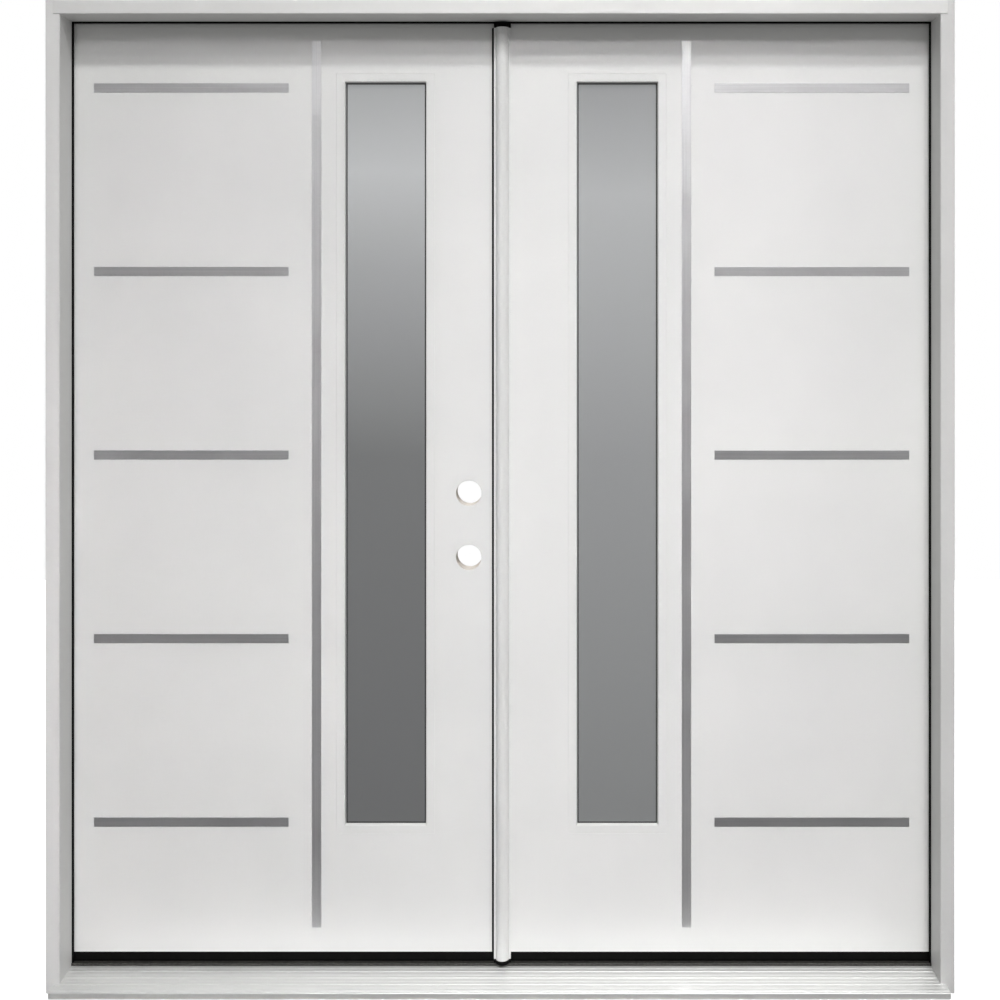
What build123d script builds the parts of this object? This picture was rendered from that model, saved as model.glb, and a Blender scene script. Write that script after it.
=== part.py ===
# A prehung double front door: two flush slabs with tall narrow glass and metal inlays, in a white frame.
# Units are millimetres. X runs along the width, -Y is the street side, +Y is indoors, +Z is up.
# The origin is on the underside of the sill, in the middle of the opening and of the frame's depth.
import os

from build123d import *

os.makedirs("parts", exist_ok=True)

# Leaves
leaf_width = 908.0
leaf_height = 1981.2
leaf_thickness = 44.5
leaf_gap = 5.0
meeting_gap = 18.6
skin_thickness = 2.0
stile_width = 25.0
top_rail_height = 38.0
bottom_rail_height = 60.0

# Frame
jamb_depth = 116.0
jamb_thickness = 29.4
jamb_edge_bevel = 1.5
stop_step = 11.9
head_let_in = 15.1
head_proud = 1.0
kerf_width = 3.0
kerf_depth = 9.0
kerf_margin = 1.0
kerf_clearance = 0.4

# Glass unit and its frame, measured in from the leaf's edges
lite_from_lock_edge = 133.0
lite_width = 208.0
lite_from_bottom = 250.9
lite_from_top = 115.3
lite_frame_face = 19.3
lite_frame_depth = 10.0
lite_slope = 2.0
glass_cover = 8.0
pane_thickness = 5.0
spacer_width = 7.0

# Metal inlay strips on the street side
strip_width = 19.5
strip_thickness = 1.5
strip_proud = 0.5
upright_from_lite = 42.7
upright_from_bottom = 51.0
upright_from_top = 45.2
cross_from_upright = 49.8
cross_from_hinge_edge = 51.2
cross_count = 5
cross_from_lite_bottom = 24.3
cross_from_lite_top = 30.7

# Lock holes in the leaf that opens first
bore_radius = 27.0
bore_backset = 60.3
bore_from_bottom = 837.6
bore_spacing = 136.5
edge_bore_radius = 12.7
faceplate_width = 25.4
faceplate_height = 57.0
faceplate_depth = 2.5
lock_block_width = 90.0
lock_block_margin = 130.0

# Hinges
hinge_height = 101.6
hinge_reach = 44.0
hinge_plate = 2.5
hinge_corner = 15.9
hinge_count = 3
hinge_from_top = 226.7
hinge_from_bottom = 330.0
knuckle_radius = 6.5
knuckle_count = 3
knuckle_gap = 0.4
knuckle_stand_off = 7.0
pin_radius = 3.2
pin_clearance = 0.15
pin_head_radius = 5.2
pin_head_height = 2.4

# Seals
seal_space = 7.0
seal_clearance = 1.0
frame_seal_width = 14.0
frame_seal_overhang = 3.4
frame_seal_round = 2.2
barb_end_gap = 2.0
sweep_height = 20.0
sweep_plate = 3.5
sweep_fin = 3.0
sweep_fin_count = 4
sweep_end_gap = 2.0

# Sill
sill_nosing = 30.0
deck_from_leaf = 9.5
deck_back_height = 24.4
deck_fall = 7.4
deck_thickness = 3.2
nose_drop = 12.0
nose_round = 1.5
groove_count = 8
groove_pitch = 10.9
groove_start = 6.0
wide_groove_width = 5.0
wide_groove_depth = 1.0
fine_groove_width = 2.0
fine_groove_depth = 0.5
cap_rise = 5.6
cap_from_back = 6.0
cap_round = 2.0

# Closing post between the leaves, carried by the leaf that opens second
post_running_gap = 6.6
post_lap_first = 6.4
post_lap_second = 10.5
post_lip_width = 3.8
post_lip_thickness = 3.5
post_bulge = 12.0
post_seat_gap = 4.5
post_drop = 11.0
post_top_boot = 8.8
post_seal_radius = 2.2
bolt_plate_width = 16.0
bolt_plate_height = 90.0
bolt_plate_thickness = 2.5
bolt_plate_from_end = 260.0
bolt_slot_width = 6.0
bolt_slot_length = 45.0

# Heights worked out from the sill up
nose_top = deck_back_height - deck_fall
nose_bottom = nose_top - nose_drop
base_top = deck_back_height - deck_thickness
cap_top = deck_back_height + cap_rise
leaf_bottom = cap_top + sweep_height
leaf_top = leaf_bottom + leaf_height
leaf_middle_z = (leaf_top + leaf_bottom) / 2
head_rabbet = leaf_top + leaf_gap
head_bottom = head_rabbet - stop_step
unit_height = head_bottom + jamb_thickness

# Widths worked out from the middle
lock_edge_x = meeting_gap / 2
hinge_edge_x = lock_edge_x + leaf_width
leaf_middle_x = (hinge_edge_x + lock_edge_x) / 2
rabbet_x = hinge_edge_x + leaf_gap
stop_x = rabbet_x - stop_step
outer_x = stop_x + jamb_thickness

# Depths worked out from the middle of the jamb
front_y = -jamb_depth / 2
back_y = jamb_depth / 2
leaf_front_y = back_y - leaf_thickness
shoulder_y = leaf_front_y - seal_space
nose_y = front_y - sill_nosing
deck_back_y = leaf_front_y - deck_from_leaf
cap_back_y = back_y - cap_from_back
deck_slope = deck_fall / (deck_back_y - nose_y)
core_front_y = leaf_front_y + skin_thickness
core_back_y = back_y - skin_thickness
core_middle_y = (core_front_y + core_back_y) / 2

# Seals and the kerfs that hold them
seal_depth = seal_space - seal_clearance
barb_width = kerf_width - 2 * kerf_clearance
barb_depth = kerf_depth - barb_end_gap
kerf_x = rabbet_x - kerf_margin - kerf_width / 2
kerf_z = head_rabbet - kerf_margin - kerf_width / 2
kerf_y = shoulder_y - kerf_depth / 2
barb_y = shoulder_y - barb_depth / 2 + frame_seal_round

# Glass and strips
lite_x = lock_edge_x + lite_from_lock_edge + lite_width / 2
lite_bottom = leaf_bottom + lite_from_bottom
lite_top = leaf_top - lite_from_top
lite_height = lite_top - lite_bottom
lite_z = (lite_top + lite_bottom) / 2
sight_width = lite_width - 2 * lite_frame_face
sight_height = lite_height - 2 * lite_frame_face
glass_width = sight_width + 2 * glass_cover
glass_height = sight_height + 2 * glass_cover
glass_front_y = leaf_front_y + lite_frame_depth
glass_back_y = back_y - lite_frame_depth
inlay_back_y = leaf_front_y - strip_proud + strip_thickness
upright_x = lite_x + lite_width / 2 + upright_from_lite
upright_z = [leaf_bottom + upright_from_bottom, leaf_top - upright_from_top]
cross_x = [upright_x + cross_from_upright + strip_width / 2, hinge_edge_x - cross_from_hinge_edge]
cross_lowest = lite_bottom + cross_from_lite_bottom
cross_pitch = (lite_top - cross_from_lite_top - cross_lowest) / (cross_count - 1)
cross_z = [cross_lowest + i * cross_pitch for i in range(cross_count)]

# Lock holes and hinges
bore_x = lock_edge_x + bore_backset
bore_lowest = leaf_bottom + bore_from_bottom
bore_z = [bore_lowest, bore_lowest + bore_spacing]
lock_block_x = [lock_edge_x + stile_width, lock_edge_x + stile_width + lock_block_width]
lock_block_z = [bore_z[0] - lock_block_margin, bore_z[1] + lock_block_margin]
hinge_axis_x = rabbet_x - leaf_gap / 2
hinge_axis_y = back_y + knuckle_stand_off
hinge_lowest = leaf_bottom + hinge_from_bottom
hinge_pitch = (leaf_top - hinge_from_top - hinge_lowest) / (hinge_count - 1)
hinge_z = [hinge_lowest + i * hinge_pitch for i in range(hinge_count)]
hinge_plate_y = [hinge_axis_y - hinge_reach, back_y]
knuckle_length = hinge_height / knuckle_count

# Closing post
post_stem_x = [post_running_gap - lock_edge_x, lock_edge_x]
post_flange_x = [-lock_edge_x - post_lap_first, lock_edge_x + post_lap_second]
post_bulge_x = [post_flange_x[0] + post_lip_width, post_flange_x[1] - post_lip_width]
flange_back_y = leaf_front_y - post_seat_gap
flange_front_y = flange_back_y - post_lip_thickness
post_bottom = leaf_bottom - post_drop
post_top = head_bottom - frame_seal_overhang - seal_clearance - post_top_boot
bolt_plate_y = (flange_back_y + back_y) / 2
bolt_plate_z = [post_bottom + bolt_plate_from_end, post_top - bolt_plate_from_end]


def save(part, name):
    part.label = name
    export_step(part, f"parts/{name}.step")


def deck_top(y):
    return nose_top + deck_slope * (y - nose_y)


def elevation(y):
    # An upright drawing plane at this depth, with X to the right and Z up, seen from the street
    return Plane.XZ.offset(-y)


def board(x_span, y_span, z_span):
    # A board between two values on each axis, drawn in plan and pulled up
    with BuildPart() as piece:
        with BuildSketch(Plane.XY.offset(z_span[0])):
            with Locations((sum(x_span) / 2, sum(y_span) / 2)):
                Rectangle(abs(x_span[1] - x_span[0]), y_span[1] - y_span[0])
        extrude(amount=z_span[1] - z_span[0])
    return piece.part


# The frame: a rabbeted head let into two rabbeted side jambs, and a sill between their feet


def head_blank():
    with BuildPart() as blank:
        with BuildSketch(Plane.YZ):
            with BuildLine():
                Polyline(
                    (front_y - head_proud, unit_height),
                    (front_y - head_proud, head_bottom),
                    (shoulder_y, head_bottom),
                    (shoulder_y, head_rabbet),
                    (back_y, head_rabbet),
                    (back_y, unit_height),
                    close=True,
                )
            make_face()
        extrude(amount=outer_x - head_let_in, both=True)
    return blank.part


def head_jamb():
    with BuildPart() as head:
        add(head_blank())
        chamfer(head.edges().filter_by(Axis.X).group_by(Axis.Y)[0], jamb_edge_bevel)
        with BuildSketch(Plane.YZ):
            with Locations((kerf_y, kerf_z)):
                Rectangle(kerf_depth, kerf_width)
        extrude(amount=outer_x - head_let_in, both=True, mode=Mode.SUBTRACT)
    return head.part


def hinge_recesses(side, face_x, inward):
    # Shallow recesses with round corners, one for each hinge plate on a face
    with BuildPart() as recesses:
        with BuildSketch(Plane.YZ.offset(side * face_x)) as outline:
            with Locations([(sum(hinge_plate_y) / 2, z) for z in hinge_z]):
                Rectangle(hinge_plate_y[1] - hinge_plate_y[0], hinge_height)
            fillet(outline.vertices().group_by(Axis.X)[0], hinge_corner)
        extrude(amount=side * inward * hinge_plate)
    return recesses.part


def side_jamb(side):
    with BuildPart() as jamb:
        with BuildSketch() as section:
            with BuildLine():
                Polyline(
                    (side * outer_x, front_y),
                    (side * stop_x, front_y),
                    (side * stop_x, shoulder_y),
                    (side * rabbet_x, shoulder_y),
                    (side * rabbet_x, back_y),
                    (side * outer_x, back_y),
                    close=True,
                )
            make_face()
            chamfer(section.vertices().group_by(Axis.Y)[0], jamb_edge_bevel)
            with Locations((side * kerf_x, kerf_y)):
                Rectangle(kerf_width, kerf_depth, mode=Mode.SUBTRACT)
        extrude(amount=unit_height)
        add(head_blank(), mode=Mode.SUBTRACT)
        add(hinge_recesses(side, rabbet_x, 1), mode=Mode.SUBTRACT)
        # The stop is cut back over the sloping sill and its cap, which run under it
        with BuildSketch(Plane.YZ):
            with BuildLine():
                Polyline(
                    (nose_y, 0),
                    (shoulder_y, 0),
                    (shoulder_y, cap_top),
                    (deck_back_y, cap_top),
                    (deck_back_y, deck_back_height),
                    (nose_y, deck_top(nose_y)),
                    close=True,
                )
            make_face()
        extrude(amount=rabbet_x, both=True, mode=Mode.SUBTRACT)
    return jamb.part


def sill_deck():
    with BuildPart() as deck:
        with BuildSketch(Plane.YZ) as section:
            with BuildLine():
                Polyline(
                    (deck_back_y, deck_back_height),
                    (nose_y, nose_top),
                    (nose_y, nose_bottom),
                    (nose_y + deck_thickness, nose_bottom),
                    (nose_y + deck_thickness, deck_top(nose_y + deck_thickness) - deck_thickness),
                    (deck_back_y, base_top),
                    close=True,
                )
            make_face()
            nose_corner = section.vertices().group_by(Axis.X)[0].sort_by(Axis.Y)[-1]
            fillet(nose_corner, nose_round)
            # Wide and fine grooves take turns, from the nose back
            for i in range(groove_count):
                groove_y = nose_y + groove_start + i * groove_pitch
                groove_width = fine_groove_width if i % 2 else wide_groove_width
                groove_depth = fine_groove_depth if i % 2 else wide_groove_depth
                with Locations((groove_y, deck_top(groove_y))):
                    Rectangle(groove_width, 2 * groove_depth, mode=Mode.SUBTRACT)
        extrude(amount=rabbet_x, both=True)
    return deck.part


def sill_base():
    with BuildPart() as base:
        with BuildSketch(Plane.YZ):
            with BuildLine():
                Polyline(
                    (front_y, 0),
                    (back_y, 0),
                    (back_y, base_top),
                    (deck_back_y, base_top),
                    (front_y, deck_top(front_y) - deck_thickness),
                    close=True,
                )
            make_face()
        extrude(amount=rabbet_x, both=True)
    return base.part


def sill_cap():
    with BuildPart() as cap:
        with BuildSketch(Plane.YZ) as section:
            with Locations(((deck_back_y + cap_back_y) / 2, (base_top + cap_top) / 2)):
                Rectangle(cap_back_y - deck_back_y, cap_top - base_top)
            fillet(section.vertices().group_by(Axis.Y)[-1], cap_round)
        extrude(amount=rabbet_x, both=True)
    return cap.part


def side_weatherstrips():
    with BuildPart() as strips:
        for side in (-1, 1):
            with BuildSketch(Plane.XY.offset(cap_top)) as section:
                inner_x = stop_x - frame_seal_overhang
                with Locations((side * (inner_x + frame_seal_width / 2), shoulder_y + seal_depth / 2)):
                    Rectangle(frame_seal_width, seal_depth)
                inner_corners = section.vertices().sort_by_distance((0, shoulder_y))[:2]
                fillet(inner_corners, frame_seal_round)
                with Locations((side * kerf_x, barb_y)):
                    Rectangle(barb_width, barb_depth + 2 * frame_seal_round)
            extrude(amount=head_bottom - frame_seal_overhang - cap_top)
    return strips.part


def head_weatherstrip():
    with BuildPart() as strip:
        with BuildSketch(Plane.YZ) as section:
            lower_z = head_bottom - frame_seal_overhang
            with Locations((shoulder_y + seal_depth / 2, lower_z + frame_seal_width / 2)):
                Rectangle(seal_depth, frame_seal_width)
            fillet(section.vertices().group_by(Axis.Y)[0], frame_seal_round)
            with Locations((barb_y, kerf_z)):
                Rectangle(barb_depth + 2 * frame_seal_round, barb_width)
        extrude(amount=rabbet_x, both=True)
    return strip.part


# Hinges: two flush plates with interleaved knuckles on one pin


def hinge_plates(side, face_x, inward, zones):
    with BuildPart() as plates:
        add(hinge_recesses(side, face_x, inward))
        for z in hinge_z:
            for zone in zones:
                knuckle_z = z - hinge_height / 2 + zone * knuckle_length + knuckle_gap / 2
                with BuildSketch(Plane.XY.offset(knuckle_z)):
                    with Locations((side * hinge_axis_x, hinge_axis_y)):
                        Circle(knuckle_radius)
                    tab_x = side * (face_x + inward * hinge_plate / 2)
                    with Locations((tab_x, (back_y + hinge_axis_y) / 2)):
                        Rectangle(hinge_plate, knuckle_stand_off)
                    with Locations((side * hinge_axis_x, hinge_axis_y)):
                        Circle(pin_radius + pin_clearance, mode=Mode.SUBTRACT)
                extrude(amount=knuckle_length - knuckle_gap)
    return plates.part


def hinge_pins(side):
    with BuildPart() as pins:
        for z in hinge_z:
            top_z = z + hinge_height / 2 - knuckle_gap / 2
            with BuildSketch(Plane.XY.offset(z - hinge_height / 2)):
                with Locations((side * hinge_axis_x, hinge_axis_y)):
                    Circle(pin_radius)
            extrude(amount=hinge_height)
            with BuildSketch(Plane.XY.offset(top_z)):
                with Locations((side * hinge_axis_x, hinge_axis_y)):
                    Circle(pin_head_radius)
            extrude(amount=pin_head_height)
    return pins.part


# Leaves: moulded skins over stiles, rails and foam, with a glass unit and inlaid strips


def skin(side, y, strips, bored):
    with BuildPart() as sheet:
        with BuildSketch(elevation(y)):
            with Locations((side * leaf_middle_x, leaf_middle_z)):
                Rectangle(leaf_width, leaf_height)
            with Locations((side * lite_x, lite_z)):
                Rectangle(lite_width, lite_height, mode=Mode.SUBTRACT)
            if bored:
                with Locations([(side * bore_x, z) for z in bore_z]):
                    Circle(bore_radius, mode=Mode.SUBTRACT)
        extrude(amount=-skin_thickness)
        add(hinge_recesses(side, hinge_edge_x, -1), mode=Mode.SUBTRACT)
        for strip in strips:
            add(strip, mode=Mode.SUBTRACT)
    return sheet.part


def upright_strip(side):
    with BuildPart() as strip:
        with BuildSketch(elevation(inlay_back_y)):
            with Locations((side * upright_x, sum(upright_z) / 2)):
                Rectangle(strip_width, upright_z[1] - upright_z[0])
        extrude(amount=strip_thickness)
    return strip.part


def cross_strips(side):
    with BuildPart() as strips:
        with BuildSketch(elevation(inlay_back_y)):
            with Locations([(side * sum(cross_x) / 2, z) for z in cross_z]):
                Rectangle(cross_x[1] - cross_x[0], strip_width)
        extrude(amount=strip_thickness)
    return strips.part


def hinge_stile(side):
    with BuildPart() as stile:
        add(
            board(
                (side * hinge_edge_x, side * (hinge_edge_x - stile_width)),
                (core_front_y, core_back_y),
                (leaf_bottom, leaf_top),
            )
        )
        add(hinge_recesses(side, hinge_edge_x, -1), mode=Mode.SUBTRACT)
    return stile.part


def rails(side):
    inner_x = (side * (lock_edge_x + stile_width), side * (hinge_edge_x - stile_width))
    with BuildPart() as pair:
        add(board(inner_x, (core_front_y, core_back_y), (leaf_bottom, leaf_bottom + bottom_rail_height)))
        add(board(inner_x, (core_front_y, core_back_y), (leaf_top - top_rail_height, leaf_top)))
    return pair.part


def core(side, bored):
    inner_x = (side * (lock_edge_x + stile_width), side * (hinge_edge_x - stile_width))
    inner_z = (leaf_bottom + bottom_rail_height, leaf_top - top_rail_height)
    with BuildPart() as foam:
        add(board(inner_x, (core_front_y, core_back_y), inner_z))
        with BuildSketch(elevation(core_front_y)):
            with Locations((side * lite_x, lite_z)):
                Rectangle(lite_width, lite_height)
        extrude(amount=core_front_y - core_back_y, mode=Mode.SUBTRACT)
        if bored:
            add(lock_block_blank(side), mode=Mode.SUBTRACT)
    return foam.part


def lock_block_blank(side):
    return board([side * x for x in lock_block_x], (core_front_y, core_back_y), lock_block_z)


def latch_holes(side):
    # Holes for the latch and the bolt, from the leaf's edge to the middle of the lock holes
    with BuildPart() as holes:
        with BuildSketch(Plane.YZ.offset(side * lock_edge_x)):
            with Locations([(core_middle_y, z) for z in bore_z]):
                Circle(edge_bore_radius)
        extrude(amount=side * bore_backset)
    return holes.part


def lock_block(side):
    with BuildPart() as block:
        add(lock_block_blank(side))
        with BuildSketch(elevation(core_front_y)):
            with Locations([(side * bore_x, z) for z in bore_z]):
                Circle(bore_radius)
        extrude(amount=core_front_y - core_back_y, mode=Mode.SUBTRACT)
        add(latch_holes(side), mode=Mode.SUBTRACT)
    return block.part


def lock_stile(side, bored):
    stile_x = (side * lock_edge_x, side * (lock_edge_x + stile_width))
    with BuildPart() as stile:
        add(board(stile_x, (core_front_y, core_back_y), (leaf_bottom, leaf_top)))
        if bored:
            add(latch_holes(side), mode=Mode.SUBTRACT)
            with BuildSketch(Plane.YZ.offset(side * lock_edge_x)):
                with Locations([(core_middle_y, z) for z in bore_z]):
                    Rectangle(faceplate_width, faceplate_height)
            extrude(amount=side * faceplate_depth, mode=Mode.SUBTRACT)
    return stile.part


def lite_ring(side, face_y, inward):
    # One half of the glass frame, with an opening that narrows towards the glass
    with BuildPart() as ring:
        with BuildSketch(elevation(face_y)):
            with Locations((side * lite_x, lite_z)):
                Rectangle(lite_width, lite_height)
        extrude(amount=-inward * lite_frame_depth)
        with BuildSketch(elevation(face_y)):
            with Locations((side * lite_x, lite_z)):
                Rectangle(sight_width + 2 * lite_slope, sight_height + 2 * lite_slope)
        with BuildSketch(elevation(face_y + inward * lite_frame_depth)):
            with Locations((side * lite_x, lite_z)):
                Rectangle(sight_width, sight_height)
        loft(mode=Mode.SUBTRACT)
    return ring.part


def lite_frame(side):
    with BuildPart() as halves:
        add(lite_ring(side, leaf_front_y, 1))
        add(lite_ring(side, back_y, -1))
    return halves.part


def glass(side):
    with BuildPart() as panes:
        for y in (glass_front_y, glass_back_y - pane_thickness):
            with BuildSketch(elevation(y)):
                with Locations((side * lite_x, lite_z)):
                    Rectangle(glass_width, glass_height)
            extrude(amount=-pane_thickness)
    return panes.part


def glass_spacer(side):
    inner = (glass_width - 2 * spacer_width, glass_height - 2 * spacer_width)
    with BuildPart() as spacer:
        with BuildSketch(elevation(glass_front_y + pane_thickness)):
            with Locations((side * lite_x, lite_z)):
                Rectangle(glass_width, glass_height)
                Rectangle(*inner, mode=Mode.SUBTRACT)
        extrude(amount=glass_front_y - glass_back_y + 2 * pane_thickness)
    return spacer.part


def sweep_strip(side):
    # A flat carrier under the leaf with fins that stand just over the sill cap
    fin_bottom = cap_top + seal_clearance
    fin_pitch = (leaf_thickness - sweep_fin) / (sweep_fin_count - 1)
    with BuildPart() as strip:
        with BuildSketch(Plane.YZ.offset(side * (lock_edge_x + sweep_end_gap))):
            with Locations((leaf_front_y + leaf_thickness / 2, leaf_bottom - sweep_plate / 2)):
                Rectangle(leaf_thickness, sweep_plate)
            for i in range(sweep_fin_count):
                fin_y = leaf_front_y + sweep_fin / 2 + i * fin_pitch
                with Locations((fin_y, (leaf_bottom + fin_bottom) / 2)):
                    Rectangle(sweep_fin, leaf_bottom - fin_bottom)
        extrude(amount=side * (leaf_width - 2 * sweep_end_gap))
    return strip.part


# The closing post: a T-shaped moulding with a rounded nose, on the edge of the second leaf


def post_stem(z, height):
    return board(post_stem_x, (flange_back_y, back_y), (z, z + height))


def post_cover(z, height):
    with BuildPart() as cover:
        with BuildSketch(Plane.XY.offset(z)):
            with BuildLine():
                Polyline(
                    (post_bulge_x[0], flange_front_y),
                    (post_flange_x[0], flange_front_y),
                    (post_flange_x[0], flange_back_y),
                    (lock_edge_x, flange_back_y),
                    (lock_edge_x, leaf_front_y),
                    (post_flange_x[1], leaf_front_y),
                    (post_flange_x[1], flange_front_y),
                    (post_bulge_x[1], flange_front_y),
                )
                ThreePointArc(
                    (post_bulge_x[1], flange_front_y),
                    (sum(post_bulge_x) / 2, flange_front_y - post_bulge),
                    (post_bulge_x[0], flange_front_y),
                )
            make_face()
        extrude(amount=height)
    return cover.part


def bolt_recess(z):
    return board(
        (post_stem_x[0], post_stem_x[0] + bolt_plate_thickness),
        (bolt_plate_y - bolt_plate_width / 2, bolt_plate_y + bolt_plate_width / 2),
        (z - bolt_plate_height / 2, z + bolt_plate_height / 2),
    )


def closing_post():
    with BuildPart() as post:
        add(post_stem(post_bottom, post_top - post_bottom))
        for z in bolt_plate_z:
            add(bolt_recess(z), mode=Mode.SUBTRACT)
    return post.part


def bolt_plates():
    with BuildPart() as plates:
        for z in bolt_plate_z:
            add(bolt_recess(z))
            with BuildSketch(Plane.YZ.offset(post_stem_x[0])):
                with Locations((bolt_plate_y, z)):
                    Rectangle(bolt_slot_width, bolt_slot_length)
            extrude(amount=bolt_plate_thickness, mode=Mode.SUBTRACT)
    return plates.part


def post_boots():
    lower_z = cap_top + seal_clearance
    with BuildPart() as boots:
        for z, height in ((post_top, post_top_boot), (lower_z, post_bottom - lower_z)):
            add(post_stem(z, height))
            add(post_cover(z, height))
    return boots.part


def post_seal():
    bulb_x = post_flange_x[0] - post_seal_radius
    bulb_y = leaf_front_y - seal_clearance - post_seal_radius
    with BuildPart() as seal:
        with BuildSketch(Plane.XY.offset(post_bottom)):
            with Locations((bulb_x, bulb_y)):
                Circle(post_seal_radius)
            with Locations(((bulb_x + post_flange_x[0]) / 2, (flange_front_y + flange_back_y) / 2)):
                Rectangle(post_seal_radius, post_lip_thickness)
        extrude(amount=post_top - post_bottom)
    return seal.part


save(head_jamb(), "head_jamb")
save(sill_deck(), "sill_deck")
save(sill_base(), "sill_base")
save(sill_cap(), "sill_cap")
save(side_weatherstrips(), "side_weatherstrips")
save(head_weatherstrip(), "head_weatherstrip")

for name, side in (("left", -1), ("right", 1)):
    bored = side < 0
    upright = upright_strip(side)
    crossing = cross_strips(side)
    save(side_jamb(side), f"{name}_jamb")
    save(hinge_plates(side, rabbet_x, 1, range(0, knuckle_count, 2)), f"{name}_jamb_hinge_plates")
    save(hinge_pins(side), f"{name}_hinge_pins")
    save(hinge_plates(side, hinge_edge_x, -1, range(1, knuckle_count, 2)), f"{name}_leaf_hinge_plates")
    save(skin(side, leaf_front_y, (upright, crossing), bored), f"{name}_outer_skin")
    save(skin(side, core_back_y, (), bored), f"{name}_inner_skin")
    save(upright, f"{name}_upright_strip")
    save(crossing, f"{name}_cross_strips")
    save(hinge_stile(side), f"{name}_hinge_stile")
    save(lock_stile(side, bored), f"{name}_lock_stile")
    save(rails(side), f"{name}_rails")
    save(core(side, bored), f"{name}_core")
    save(lite_frame(side), f"{name}_glass_frame")
    save(glass(side), f"{name}_glass")
    save(glass_spacer(side), f"{name}_glass_spacer")
    save(sweep_strip(side), f"{name}_sweep")
    if bored:
        save(lock_block(side), f"{name}_lock_block")

save(closing_post(), "right_closing_post")
save(post_cover(post_bottom, post_top - post_bottom), "right_post_cover")
save(post_boots(), "right_post_boots")
save(post_seal(), "right_post_seal")
save(bolt_plates(), "right_bolt_plates")
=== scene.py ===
import math

import bmesh
import bpy
from mathutils import Matrix, Vector


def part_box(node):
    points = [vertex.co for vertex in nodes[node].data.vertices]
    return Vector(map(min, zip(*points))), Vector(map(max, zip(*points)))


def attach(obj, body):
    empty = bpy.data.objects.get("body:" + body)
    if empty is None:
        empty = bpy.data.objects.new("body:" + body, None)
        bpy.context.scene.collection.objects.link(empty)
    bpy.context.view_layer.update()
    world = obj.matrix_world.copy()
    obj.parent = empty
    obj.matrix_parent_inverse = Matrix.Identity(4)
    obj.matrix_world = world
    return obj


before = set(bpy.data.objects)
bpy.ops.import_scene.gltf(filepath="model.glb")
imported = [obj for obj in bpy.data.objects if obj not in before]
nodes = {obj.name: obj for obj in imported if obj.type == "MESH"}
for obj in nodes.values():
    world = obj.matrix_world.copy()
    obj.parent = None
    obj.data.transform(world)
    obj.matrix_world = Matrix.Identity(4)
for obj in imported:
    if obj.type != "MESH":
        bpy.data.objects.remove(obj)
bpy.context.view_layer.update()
sides = {"left": -1, "right": 1}
leafBody = {"left": "active_leaf", "right": "inactive_leaf"}
print("frame loaded:", len(nodes), "nodes")


# shared helpers for node trees

evenGrain = (1, 1, 1)  # a noise of one size in every direction
noiseSpan = (0.3, 0.7)  # most values of a noise lie between these


def startMaterial(name):
    material = bpy.data.materials.new(name)
    material.use_nodes = True
    return material, material.node_tree, material.node_tree.nodes["Principled BSDF"]


def addNode(tree, kind, **settings):
    node = tree.nodes.new(kind)
    for key, value in settings.items():
        setattr(node, key, value)
    return node


def objectSpace(tree, scale):
    # metres in the door's own frame, stretched by scale
    coords = addNode(tree, "ShaderNodeTexCoord")
    mapping = addNode(tree, "ShaderNodeMapping")
    mapping.inputs["Scale"].default_value = scale
    tree.links.new(coords.outputs["Object"], mapping.inputs["Vector"])
    return mapping.outputs["Vector"]


def noise(tree, scale, size, detail=3.0, rough=0.55):
    texture = addNode(tree, "ShaderNodeTexNoise")
    texture.inputs["Scale"].default_value = size
    texture.inputs["Detail"].default_value = detail
    texture.inputs["Roughness"].default_value = rough
    tree.links.new(objectSpace(tree, scale), texture.inputs["Vector"])
    return texture.outputs["Fac"]


def rampColor(tree, factor, stops):
    ramp = addNode(tree, "ShaderNodeValToRGB")
    elements = ramp.color_ramp.elements
    while len(elements) < len(stops):
        elements.new(0.5)
    for element, (place, color) in zip(elements, stops):
        element.position = place
        element.color = (*color, 1.0)
    tree.links.new(factor, ramp.inputs["Fac"])
    return ramp.outputs["Color"]


def tintByNoise(tree, shader, factor, span, dark, light):
    color = rampColor(tree, factor, [(span[0], dark), (span[1], light)])
    tree.links.new(color, shader.inputs["Base Color"])


def roughenByNoise(tree, shader, factor, rough):
    limits = addNode(tree, "ShaderNodeMapRange")
    sockets = ("From Min", "From Max", "To Min", "To Max")
    for socket, value in zip(sockets, (*noiseSpan, *rough)):
        limits.inputs[socket].default_value = value
    tree.links.new(factor, limits.inputs["Value"])
    tree.links.new(limits.outputs["Result"], shader.inputs["Roughness"])


def addBump(tree, shader, height, strength, distance):
    bump = addNode(tree, "ShaderNodeBump")
    bump.inputs["Strength"].default_value = strength
    bump.inputs["Distance"].default_value = distance
    tree.links.new(height, bump.inputs["Height"])
    tree.links.new(bump.outputs["Normal"], shader.inputs["Normal"])


def heightFade(tree, low, high, space="Object"):
    # 0 at the low height, 1 at the high one
    coords = addNode(tree, "ShaderNodeTexCoord")
    split = addNode(tree, "ShaderNodeSeparateXYZ")
    fade = addNode(tree, "ShaderNodeMapRange")
    fade.inputs["From Min"].default_value = low
    fade.inputs["From Max"].default_value = high
    tree.links.new(coords.outputs[space], split.inputs["Vector"])
    tree.links.new(split.outputs["Z"], fade.inputs["Value"])
    return fade.outputs["Result"]


# white paint: soft clouds from dull to clean, and a fine peel along the board

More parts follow.
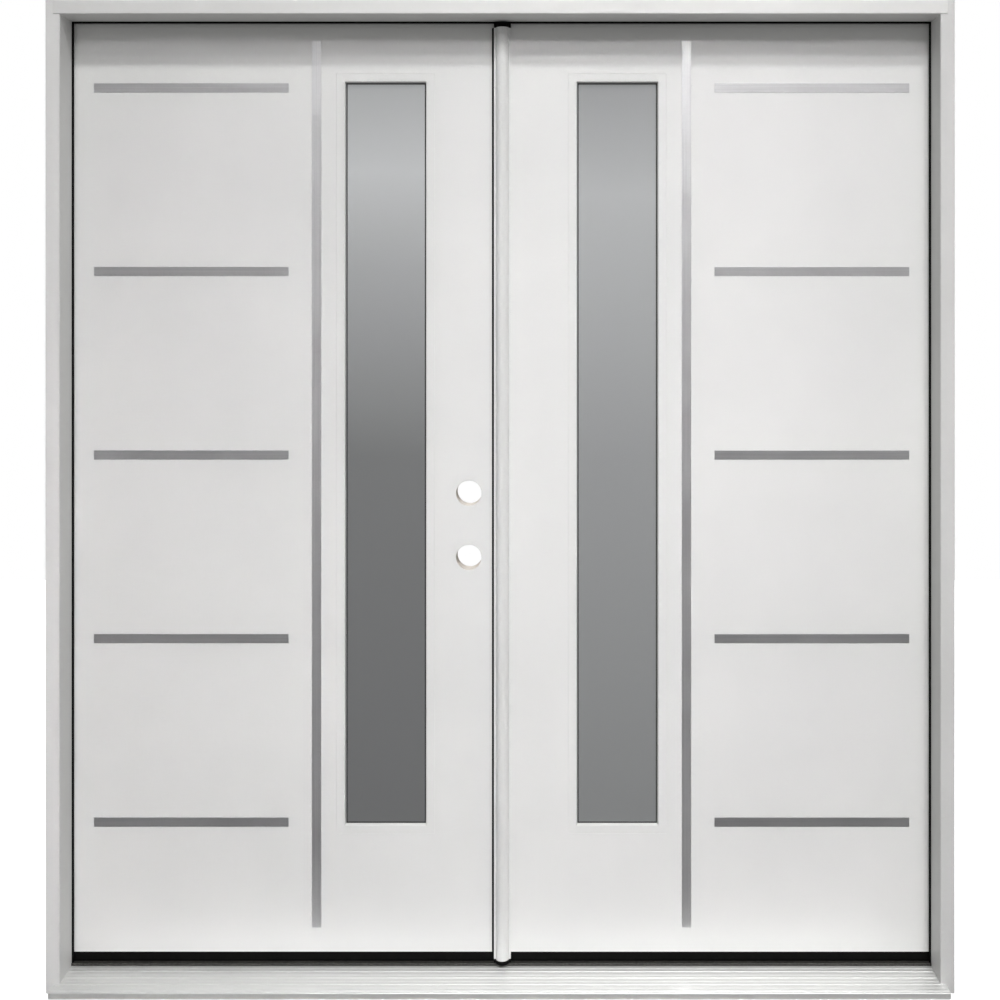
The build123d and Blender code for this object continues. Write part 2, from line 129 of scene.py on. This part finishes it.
paint = {
    "primed_skin": {
        "dull": (0.755, 0.757, 0.745), "clean": (0.815, 0.815, 0.80),
        "grain": (1, 1, 1), "rough": (0.4, 0.5),
    },
    "jamb_white": {
        "dull": (0.80, 0.795, 0.785), "clean": (0.85, 0.845, 0.835),
        "grain": (6, 6, 0.12), "rough": (0.4, 0.52),
    },
    # a darker copy of the jamb paint for the right board: painted shade
    "jamb_painted_shade": {
        "dull": (0.665, 0.66, 0.652), "clean": (0.71, 0.706, 0.698),
        "grain": (6, 6, 0.12), "rough": (0.4, 0.52),
    },
    "head_white": {
        "dull": (0.77, 0.765, 0.755), "clean": (0.82, 0.815, 0.805),
        "grain": (0.12, 6, 6), "rough": (0.4, 0.52),
    },
    "post_white": {
        "dull": (0.72, 0.72, 0.71), "clean": (0.77, 0.77, 0.76),
        "grain": (4, 4, 0.1), "rough": (0.26, 0.34),
    },
}
paintGrain = {"cloudSize": 2.3, "peelSize": 210.0, "relief": 0.10, "reliefDepth": 0.0004}


def paintFinish(name):
    look = paint[name]
    material, tree, shader = startMaterial(name)
    cloud = noise(tree, evenGrain, paintGrain["cloudSize"])
    peel = noise(tree, look["grain"], paintGrain["peelSize"], detail=4.0)
    tintByNoise(tree, shader, cloud, noiseSpan, look["dull"], look["clean"])
    roughenByNoise(tree, shader, peel, look["rough"])
    addBump(tree, shader, peel, paintGrain["relief"], paintGrain["reliefDepth"])
    return material


# frosted glass with painted reflection and shade by height: dim at the foot, a painted glow in the upper
# half, dimmer under the top

glassLook = {
    "low": 0.30, "high": 1.90, "tint": (0.98, 1.0, 1.01), "rough": (0.36, 0.42), "ior": 1.5,
    "paintedGlow": 0.6,  # the share of the grey given as emission, a painted glow that also hides the recess's shadow on the pane
    "etchSize": 900.0, "relief": 0.08, "reliefDepth": 0.0002,
    # each pane has its own painted greys by height, a painted reflection of the room
    "left": [(0.0, 0.137), (0.5, 0.172), (0.75, 0.36), (0.88, 0.51), (1.0, 0.38)],
    "right": [(0.0, 0.21), (0.5, 0.29), (0.85, 0.44), (1.0, 0.30)],
}


def frostedGlass(side):
    material, tree, shader = startMaterial("frosted_glass_" + side)
    fade = heightFade(tree, glassLook["low"], glassLook["high"])
    etch = noise(tree, evenGrain, glassLook["etchSize"], detail=2.0)
    # painted light: the height greys go into the base colour and, as a glow without a lamp, into emission
    shares = {"Base Color": 1 - glassLook["paintedGlow"], "Emission Color": glassLook["paintedGlow"]}
    for socket, share in shares.items():
        stops = []
        for place, grey in glassLook[side]:
            stops.append((place, [tint * grey * share for tint in glassLook["tint"]]))
        tree.links.new(rampColor(tree, fade, stops), shader.inputs[socket])
    shader.inputs["Emission Strength"].default_value = 1.0
    roughenByNoise(tree, shader, etch, glassLook["rough"])
    shader.inputs["IOR"].default_value = glassLook["ior"]
    addBump(tree, shader, etch, glassLook["relief"], glassLook["reliefDepth"])
    return material


# brushed and plain metal; a shine under 1 stands for a dull face

metal = {
    "inlay_upright": {
        "dark": (0.66, 0.66, 0.665), "light": (0.78, 0.78, 0.785),
        "brush": (900, 900, 3), "rough": (0.34, 0.46), "relief": 0.06, "shine": 1.0,
    },
    "inlay_cross": {
        "dark": (0.53, 0.53, 0.535), "light": (0.64, 0.64, 0.645),
        "brush": (3, 900, 900), "rough": (0.34, 0.46), "relief": 0.06, "shine": 1.0,
    },
    "sill_metal": {
        "dark": (0.80, 0.80, 0.79), "light": (0.89, 0.89, 0.88),
        "brush": (0.08, 1500, 1500), "rough": (0.30, 0.40), "relief": 0.015, "shine": 0.57,
    },
    "hinge_metal": {
        "dark": (0.47, 0.46, 0.44), "light": (0.62, 0.61, 0.59),
        "brush": (600, 600, 5), "rough": (0.26, 0.38), "relief": 0.12, "shine": 1.0,
    },
    # painted shade: a near-black copy for the shade in the screws' driver recesses
    "recess_painted_shade": {
        "dark": (0.05, 0.05, 0.05), "light": (0.10, 0.10, 0.095),
        "brush": (300, 300, 300), "rough": (0.4, 0.6), "relief": 0.1, "shine": 1.0,
    },
    "spacer_metal": {
        "dark": (0.55, 0.55, 0.55), "light": (0.66, 0.66, 0.66),
        "brush": (60, 60, 60), "rough": (0.3, 0.4), "relief": 0.12, "shine": 1.0,
    },
}
metalGrain = {"streakSize": 1.0, "scuffSize": 14.0, "reliefDepth": 0.0003}


def metalFinish(name):
    look = metal[name]
    material, tree, shader = startMaterial(name)
    streak = noise(tree, look["brush"], metalGrain["streakSize"], detail=5.0, rough=0.6)
    scuff = noise(tree, evenGrain, metalGrain["scuffSize"], detail=4.0)
    shader.inputs["Metallic"].default_value = look["shine"]
    tintByNoise(tree, shader, streak, noiseSpan, look["dark"], look["light"])
    roughenByNoise(tree, shader, scuff, look["rough"])
    addBump(tree, shader, streak, look["relief"], metalGrain["reliefDepth"])
    return material


# speckled rubber, plastic and foam

speckled = {
    "black_seal": {
        "dark": (0.002, 0.002, 0.002), "light": (0.004, 0.004, 0.004),
        "size": 160.0, "rough": (0.45, 0.6), "gloss": 0.06,
    },
    "cap_dark": {
        "dark": (0.010, 0.010, 0.009), "light": (0.07, 0.068, 0.062),
        "size": 240.0, "rough": (0.4, 0.6), "gloss": 0.3,
    },
    # dark partly as a real bead, partly as painted shade at the glass edge
    "glazing_bead_and_shade": {
        "dark": (0.030, 0.030, 0.029), "light": (0.06, 0.06, 0.058),
        "size": 200.0, "rough": (0.5, 0.7), "gloss": 0.2,
    },
    "foam": {
        "dark": (0.62, 0.55, 0.36), "light": (0.72, 0.66, 0.46),
        "size": 300.0, "rough": (0.8, 0.95), "gloss": 0.3,
    },
}
speckGrain = {"span": (0.35, 0.72), "relief": 0.2, "reliefDepth": 0.0004}


def speckledFinish(name):
    look = speckled[name]
    material, tree, shader = startMaterial(name)
    speck = noise(tree, evenGrain, look["size"], detail=5.0, rough=0.65)
    tintByNoise(tree, shader, speck, speckGrain["span"], look["dark"], look["light"])
    roughenByNoise(tree, shader, speck, look["rough"])
    addBump(tree, shader, speck, speckGrain["relief"], speckGrain["reliefDepth"])
    shader.inputs["Specular IOR Level"].default_value = look["gloss"]
    return material


# wood, with the grain along each board

wood = {
    "edge_wood": {"dark": (0.40, 0.27, 0.16), "light": (0.60, 0.45, 0.29), "grain": (70, 70, 2.2)},
    "rail_wood": {"dark": (0.40, 0.27, 0.16), "light": (0.60, 0.45, 0.29), "grain": (2.2, 70, 70)},
    "lock_block": {"dark": (0.50, 0.45, 0.40), "light": (0.72, 0.67, 0.61), "grain": (70, 70, 2.2)},
    "sill_composite": {"dark": (0.16, 0.12, 0.09), "light": (0.24, 0.19, 0.14), "grain": (3, 60, 60)},
}
woodGrain = {"size": 1.0, "span": (0.32, 0.66), "rough": (0.55, 0.72), "relief": 0.2, "reliefDepth": 0.0005}


def woodFinish(name):
    look = wood[name]
    material, tree, shader = startMaterial(name)
    grain = noise(tree, look["grain"], woodGrain["size"], detail=6.0, rough=0.62)
    tintByNoise(tree, shader, grain, woodGrain["span"], look["dark"], look["light"])
    roughenByNoise(tree, shader, grain, woodGrain["rough"])
    addBump(tree, shader, grain, woodGrain["relief"], woodGrain["reliefDepth"])
    return material


finishes = {"frosted_glass_" + side: frostedGlass(side) for side in sides}
finishes.update({name: paintFinish(name) for name in paint})
finishes.update({name: metalFinish(name) for name in metal})
finishes.update({name: speckledFinish(name) for name in speckled})
finishes.update({name: woodFinish(name) for name in wood})
print("finishes made:", len(finishes))


# finish of every CAD node

jambPaintAndShade = {"left": "jamb_white", "right": "jamb_painted_shade"}  # the right board is painted darker as painted shade
nodeFinish = {
    "head_jamb": "head_white",
    "sill_base": "sill_composite",
    "sill_deck": "sill_metal",
    "sill_cap": "cap_dark",
    "side_weatherstrips": "black_seal",
    "head_weatherstrip": "black_seal",
    "left_lock_block": "lock_block",
    "right_closing_post": "post_white",
    "right_post_cover": "post_white",
    "right_post_seal": "black_seal",
    "right_post_boots": "black_seal",
    "right_bolt_plates": "hinge_metal",
}
for side in sides:
    nodeFinish.update({
        side + "_jamb": jambPaintAndShade[side],
        side + "_jamb_hinge_plates": "hinge_metal",
        side + "_hinge_pins": "hinge_metal",
        side + "_leaf_hinge_plates": "hinge_metal",
        side + "_outer_skin": "primed_skin",
        side + "_inner_skin": "primed_skin",
        side + "_glass_frame": "primed_skin",
        side + "_hinge_stile": "edge_wood",
        side + "_lock_stile": "edge_wood",
        side + "_rails": "rail_wood",
        side + "_core": "foam",
        side + "_glass": "frosted_glass_" + side,
        side + "_glass_spacer": "spacer_metal",
        side + "_upright_strip": "inlay_upright",
        side + "_cross_strips": "inlay_cross",
        side + "_sweep": "black_seal",
    })

for name, finish in nodeFinish.items():
    nodes[name].data.materials.clear()
    nodes[name].data.materials.append(finishes[finish])
print("nodes without a finish:", sorted(set(nodes) - set(nodeFinish)))


# soft edges on the pieces that show, by width

softEdges = {"head_jamb": 0.0009}
for side in sides:
    softEdges.update({
        side + "_outer_skin": 0.0006,
        side + "_inner_skin": 0.0006,
        side + "_glass_frame": 0.0006,
        side + "_upright_strip": 0.0002,
        side + "_cross_strips": 0.0002,
    })
softening = {"weldGap": 0.00001, "flatAngle": 0.5, "edgeAngle": 40, "steps": 2}


def softenEdges(node, width):
    weld = node.modifiers.new("weld", "WELD")
    weld.merge_threshold = softening["weldGap"]
    flat = node.modifiers.new("flat", "DECIMATE")
    flat.decimate_type = "DISSOLVE"
    flat.angle_limit = math.radians(softening["flatAngle"])
    edge = node.modifiers.new("edge", "BEVEL")
    edge.width = width
    edge.segments = softening["steps"]
    edge.limit_method = "ANGLE"
    edge.angle_limit = math.radians(softening["edgeAngle"])
    edge.use_clamp_overlap = False


for name, width in softEdges.items():
    softenEdges(nodes[name], width)
print("edges softened:", len(softEdges), "nodes")


# shared helpers for new pieces

def roundEdges(bm, edges, width, steps):
    bmesh.ops.bevel(bm, geom=edges, offset=width, offset_type="OFFSET", segments=steps, profile=0.5,
                    affect="EDGES", material=-1)


def grownVerts(geom):
    return [item for item in geom if isinstance(item, bmesh.types.BMVert)]


def finishPiece(bm, name, body, looks):
    bmesh.ops.recalc_face_normals(bm, faces=bm.faces)
    mesh = bpy.data.meshes.new(name)
    bm.to_mesh(mesh)
    bm.free()
    for look in looks:
        mesh.materials.append(finishes[look])
    piece = bpy.data.objects.new(name, mesh)
    bpy.context.scene.collection.objects.link(piece)
    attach(piece, body)


# screws of the hinge plates and flush bolts

screw = {
    "radius": 0.0042, "neck": 0.0024, "depth": 0.002, "proud": 0.00025, "sides": 16, "edge": 0.00012,
    "rim": 0.0011, "arms": 4, "waist": 0.38, "sink": 0.8,  # driver recess; waist and sink are shares
}
screwLooks = ["hinge_metal", "recess_painted_shade"]
hinge = {
    "halfPlate": 0.0508, "gap": 0.005,  # half a plate's length, and the gap between leaf and jamb
    # depth from the plate's front edge, and height from its middle
    "holes": ((0.025, -0.037), (0.010, -0.0125), (0.010, 0.0125), (0.025, 0.037)),
}
bolt = {
    "halfPlate": 0.045, "screwStep": 0.036,
    "leverWidth": 0.0048, "leverHalf": 0.0105, "leverEdge": 0.0002,
    "ridges": 4, "ridgeRise": 0.0007, "ridgeBelow": 0.0004,  # the ridges end below the plate's face
}
boltLow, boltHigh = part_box("right_bolt_plates")
boltDepth = (boltLow.y + boltHigh.y) / 2
boltHeights = (boltLow.z + bolt["halfPlate"], boltHigh.z - bolt["halfPlate"])


def topFace(bm):
    return max(bm.faces, key=lambda face: face.calc_center_median().z)


def screwShape():
    bm = bmesh.new()
    bmesh.ops.create_cone(bm, cap_ends=True, segments=screw["sides"], radius1=screw["neck"],
                          radius2=screw["radius"], depth=screw["depth"])
    bmesh.ops.translate(bm, verts=bm.verts, vec=(0, 0, screw["proud"] - screw["depth"] / 2))
    roundEdges(bm, list(topFace(bm).edges), screw["edge"], 2)
    top = topFace(bm)
    bmesh.ops.inset_region(bm, faces=[top], thickness=screw["rim"])
    armStep = screw["sides"] // screw["arms"]
    for index, vert in enumerate(top.verts):
        if index % armStep >= armStep / 2:
            vert.co.xy *= screw["waist"]  # between the arms of the driver recess
    sunk = bmesh.ops.extrude_discrete_faces(bm, faces=[top])["faces"][0]
    bmesh.ops.translate(bm, verts=sunk.verts, vec=(0, 0, -screw["sink"] * screw["proud"]))
    # the sunk cross face takes the near-black painted shade of the driver recess
    sunk.material_index = 1
    mesh = bpy.data.meshes.new("screw_shape")
    bm.to_mesh(mesh)
    bm.free()
    return mesh


def addScrew(bm, x, y, z, direction):
    # the head looks along x, to the right or to the left
    place = Matrix.Translation((x, y, z)) @ Matrix.Rotation(math.radians(90 * direction), 4, "Y")
    old = len(bm.verts)
    bm.from_mesh(screwMesh)
    bmesh.ops.transform(bm, matrix=place, verts=bm.verts[old:])


screwMesh = screwShape()
for side, sign in sides.items():
    leafFace = max(sign * corner.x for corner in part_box(side + "_hinge_stile"))
    low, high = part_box(side + "_jamb_hinge_plates")
    lowest = low.z + hinge["halfPlate"]
    highest = high.z - hinge["halfPlate"]
    plates = {
        "jamb": ("frame", leafFace + hinge["gap"], -sign),
        "leaf": (leafBody[side], leafFace, sign),
    }
    for plate, (body, face, direction) in plates.items():
        bm = bmesh.new()
        for middle in (lowest, (lowest + highest) / 2, highest):
            for depth, step in hinge["holes"]:
                addScrew(bm, sign * face, low.y + depth, middle + step, direction)
        finishPiece(bm, side + "_" + plate + "_screws", body, screwLooks)
bm = bmesh.new()
for middle in boltHeights:
    for step in (-bolt["screwStep"], bolt["screwStep"]):
        addScrew(bm, boltLow.x, boltDepth, middle + step, -1)
finishPiece(bm, "right_bolt_screws", "inactive_leaf", screwLooks)
bpy.data.meshes.remove(screwMesh)


# thumb levers in the slots of the flush bolts, ridged for the thumb

def addLever(bm, middle):
    pitch = bolt["leverHalf"] / bolt["ridges"]
    outline = [(boltHigh.x, bolt["leverHalf"]), (boltHigh.x, -bolt["leverHalf"])]
    for index in range(2 * bolt["ridges"] + 1):
        dip = 0 if index % 2 else bolt["ridgeRise"]
        outline.append((boltLow.x + bolt["ridgeBelow"] + dip, -bolt["leverHalf"] + index * pitch))
    front = boltDepth - bolt["leverWidth"] / 2
    corners = [bm.verts.new((x, front, middle + z)) for x, z in outline]
    cheek = bm.faces.new(corners)
    moved = grownVerts(bmesh.ops.extrude_face_region(bm, geom=[cheek])["geom"])
    bmesh.ops.translate(bm, verts=moved, vec=(0, bolt["leverWidth"], 0))
    cheeks = (set(corners), set(moved))
    rims = [edge for edge in bm.edges if any(set(edge.verts) <= cheek for cheek in cheeks)]
    roundEdges(bm, rims, bolt["leverEdge"], 2)


bm = bmesh.new()
for middle in boltHeights:
    addLever(bm, middle)
finishPiece(bm, "right_bolt_levers", "inactive_leaf", ["hinge_metal"])
print("screws and levers made")


# dark glazing beads between the panes and their frames; their dark line is partly painted shade of the gap
# at the glass edge

bead = {"lap": 0.008, "line": 0.0033, "rise": 0.0014, "edge": 0.0007}  # the frame laps over the panes


def addBead(bm, low, high, outward):
    middle = (low + high) / 2
    width = high.x - low.x - 2 * bead["lap"]
    tall = high.z - low.z - 2 * bead["lap"]
    depth = high.y if outward > 0 else low.y
    corners = bmesh.ops.create_grid(bm, x_segments=1, y_segments=1, size=0.5)["verts"]
    upright = Matrix.Rotation(math.radians(-90 * outward), 4, "X")
    stretch = Matrix.Diagonal((width, 1, tall, 1))
    spot = Matrix.Translation((middle.x, depth, middle.z))
    bmesh.ops.transform(bm, matrix=spot @ stretch @ upright, verts=corners)
    bm.normal_update()
    pane = corners[0].link_faces[0]
    ring = bmesh.ops.inset_region(bm, faces=[pane], thickness=bead["line"], use_boundary=True)["faces"]
    bmesh.ops.delete(bm, geom=[pane], context="FACES_ONLY")
    raised = grownVerts(bmesh.ops.extrude_face_region(bm, geom=ring, use_keep_orig=True)["geom"])
    bmesh.ops.translate(bm, verts=raised, vec=(0, outward * bead["rise"], 0))
    half = (width - bead["line"]) / 2
    inner = {vert for vert in raised if abs(vert.co.x - middle.x) < half}
    rims = [edge for edge in bm.edges if set(edge.verts) <= inner]
    roundEdges(bm, rims, bead["edge"], 3)


for side in sides:
    low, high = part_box(side + "_glass")
    bm = bmesh.new()
    for outward in (-1, 1):
        addBead(bm, low, high, outward)
    finishPiece(bm, side + "_glazing_beads", leafBody[side], ["glazing_bead_and_shade"])
print("glazing beads made")


# camera

camera = {"place": (0.110, -2.601, 1.390), "lens": 44.3, "sensor": 36.0, "shift": (-0.0533, -0.179)}
view = bpy.data.cameras.new("view")
view.lens = camera["lens"]
view.sensor_width = camera["sensor"]
view.shift_x, view.shift_y = camera["shift"]
viewObject = bpy.data.objects.new("view", view)
viewObject.location = camera["place"]
viewObject.rotation_euler = (math.radians(90), 0, 0)
bpy.context.scene.collection.objects.link(viewObject)
bpy.context.scene.camera = viewObject


# light: two far rows and the middle pool throw the head's three shadow bands; the low pool and the fill
# even out the leaves, the bounce stands for light off the sill, and one lamp lights the indoor side

lamps = {
    "high_row": {
        "kind": "AREA", "place": (2.4, -11.6, 16.98), "aim": (0.2, 0.0, 0.95),
        "size": (4.5, 1.25), "spread": 180.0, "power": 1760,
    },
    "low_row": {
        "kind": "AREA", "place": (3.4, -17.0, 12.7), "aim": (0.3, 0.0, 0.95),
        "size": (5.0, 3.0), "spread": 180.0, "power": 540,
    },
    "front_fill": {
        "kind": "AREA", "place": (-0.7, -16.0, 8.0), "aim": (-0.95, 0.0, 0.55),
        "size": (1.2, 1.6), "spread": 9.0, "power": 2.2,
    },
    "indoor_soft": {
        "kind": "AREA", "place": (-1.5, 8.0, 5.5), "aim": (0.0, 0.0, 1.0),
        "size": (7.0, 6.0), "spread": 180.0, "power": 330,
    },
    "sill_bounce": {
        "kind": "AREA", "place": (0.0, -0.05, 0.045), "aim": (0.0, 0.013, 0.15),
        "size": (1.7, 0.05), "spread": 180.0, "power": 0.13,
    },
    "mid_pool": {
        "kind": "SPOT", "place": (0.36, -14.5, 15.96), "aim": (0.36, 0.0, 1.15),
        "cone": 7.4, "blend": 1.0, "radius": 0.77, "power": 8300,
    },
    "low_pool": {
        "kind": "AREA", "place": (0.45, -17.0, 10.4), "aim": (0.45, 0.0, 1.2),
        "size": (1.0, 6.0), "spread": 8.0, "power": 4.2,
    },
}
for name, lampLook in lamps.items():
    lamp = bpy.data.lights.new(name, lampLook["kind"])
    lamp.energy = lampLook["power"]
    if lampLook["kind"] == "AREA":
        lamp.shape = "RECTANGLE"
        lamp.size, lamp.size_y = lampLook["size"]
        lamp.spread = math.radians(lampLook["spread"])
    else:
        lamp.spot_size = math.radians(lampLook["cone"])
        lamp.spot_blend = lampLook["blend"]
        lamp.shadow_soft_size = lampLook["radius"]
    lampObject = bpy.data.objects.new(name, lamp)
    lampObject.location = lampLook["place"]
    beam = Vector(lampLook["aim"]) - Vector(lampLook["place"])
    lampObject.rotation_euler = beam.to_track_quat("-Z", "Y").to_euler()
    lampObject.visible_camera = False
    bpy.context.scene.collection.objects.link(lampObject)


# room light by height: grey ground, a brighter band over the horizon, a dark ceiling; the camera sees white

room = {"seen": 1.0, "bands": [(0.30, 0.22), (0.49, 0.225), (0.54, 0.29), (0.68, 0.365), (0.80, 0.08)]}
world = bpy.data.worlds.new("room")
bpy.context.scene.world = world
world.use_nodes = True
tree = world.node_tree
background = tree.nodes["Background"]
height = heightFade(tree, -1.0, 1.0, space="Generated")  # from straight down to straight up
greys = [(place, (grey, grey, grey)) for place, grey in room["bands"]]
bandColor = rampColor(tree, height, greys)
path = addNode(tree, "ShaderNodeLightPath")
seen = addNode(tree, "ShaderNodeMix", data_type="RGBA")
seen.inputs["B"].default_value = (room["seen"], room["seen"], room["seen"], 1)
tree.links.new(path.outputs["Is Camera Ray"], seen.inputs["Factor"])
tree.links.new(bandColor, seen.inputs["A"])
tree.links.new(seen.outputs["Result"], background.inputs["Color"])


# pale floor, kept out of the light and the reflections on the door

floor = {"half": 4.0, "color": (0.9, 0.9, 0.89), "rough": 0.6, "glow": 0.75}
bm = bmesh.new()
bmesh.ops.create_grid(bm, x_segments=1, y_segments=1, size=floor["half"])
floorMesh = bpy.data.meshes.new("floor")
bm.to_mesh(floorMesh)
bm.free()
material, tree, shader = startMaterial("pale_floor")
shader.inputs["Base Color"].default_value = (*floor["color"], 1)
shader.inputs["Roughness"].default_value = floor["rough"]
shader.inputs["Emission Color"].default_value = (1, 1, 1, 1)
shader.inputs["Emission Strength"].default_value = floor["glow"]
floorMesh.materials.append(material)
floorObject = bpy.data.objects.new("floor", floorMesh)
floorObject.visible_diffuse = False
floorObject.visible_glossy = False
bpy.context.scene.collection.objects.link(floorObject)
bpy.context.scene.view_settings.view_transform = "Standard"
print("light and camera set")
